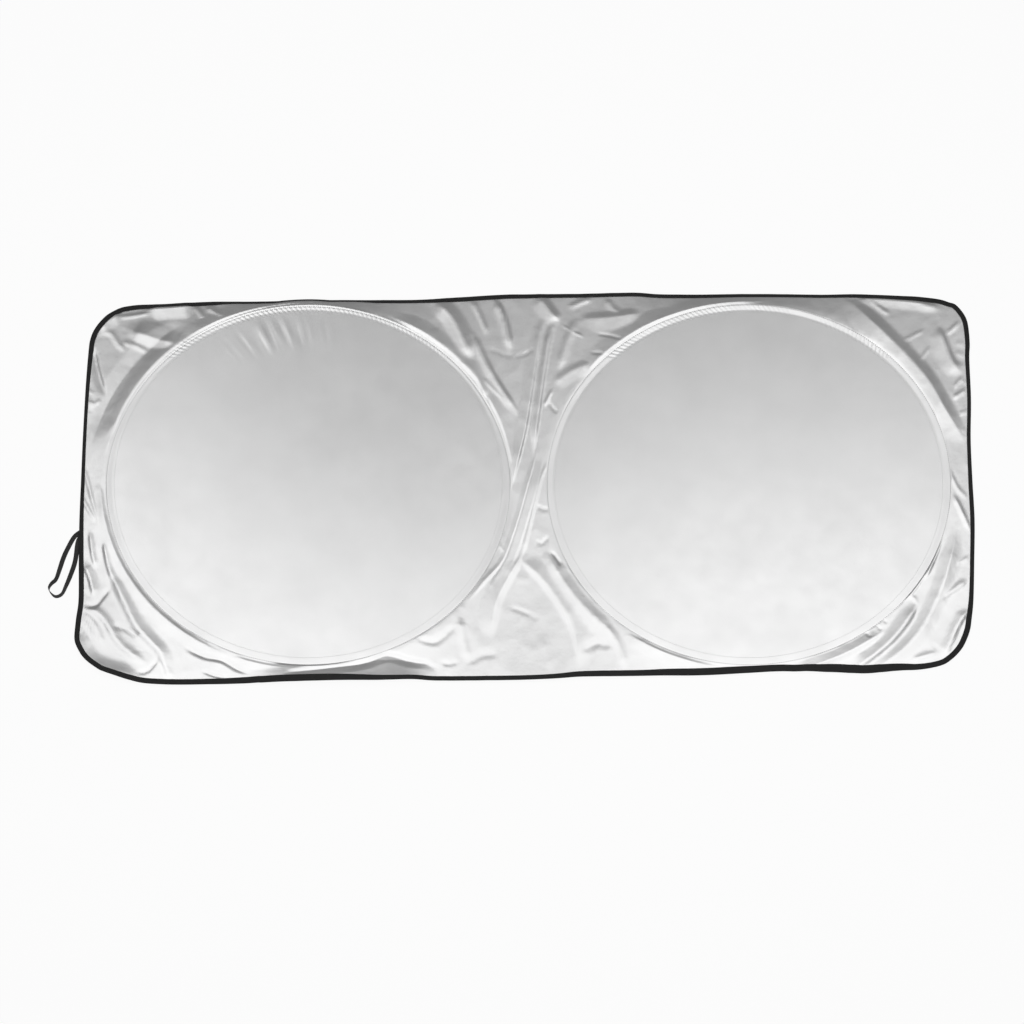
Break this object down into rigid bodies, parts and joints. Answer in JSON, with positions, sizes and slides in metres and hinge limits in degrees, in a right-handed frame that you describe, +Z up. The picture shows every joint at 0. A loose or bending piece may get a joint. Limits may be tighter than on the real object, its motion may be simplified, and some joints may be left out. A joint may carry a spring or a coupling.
{
  "type": "windscreen sunshade",
  "caption": "Pop-up windscreen sunshade of silver-coated cloth held open by round sprung steel hoops, with a black bound edge and an elastic retaining loop at one end.",
  "frame": {"origin": "on the table, under the middle of the whole shade, its retaining strap included", "axes": "+X along the long side, from the end with the strap to the other end; +Y toward the upper edge of the picture; +Z up, out of the silver face"},
  "size_m": [1.543, 0.7208, 0.0106],
  "materials": {
    "silver_cloth": "silver-coated taffeta, soft metallic sheen",
    "black_binding": "matt woven tape",
    "black_elastic": "ribbed elastic",
    "tunnel_tape": "silver-coated taffeta strip",
    "spring_steel": "bare spring steel"
  },
  "bodies": {
    "root": {"silver_panel": "silver_cloth", "edge_binding": "black_binding", "retaining_strap": "black_elastic", "left_tunnel_tape": "tunnel_tape", "left_hoop": "spring_steel", "left_hoop_ferrule": "spring_steel", "right_tunnel_tape": "tunnel_tape", "right_hoop": "spring_steel", "right_hoop_ferrule": "spring_steel"}
  },
  "joints": []
}
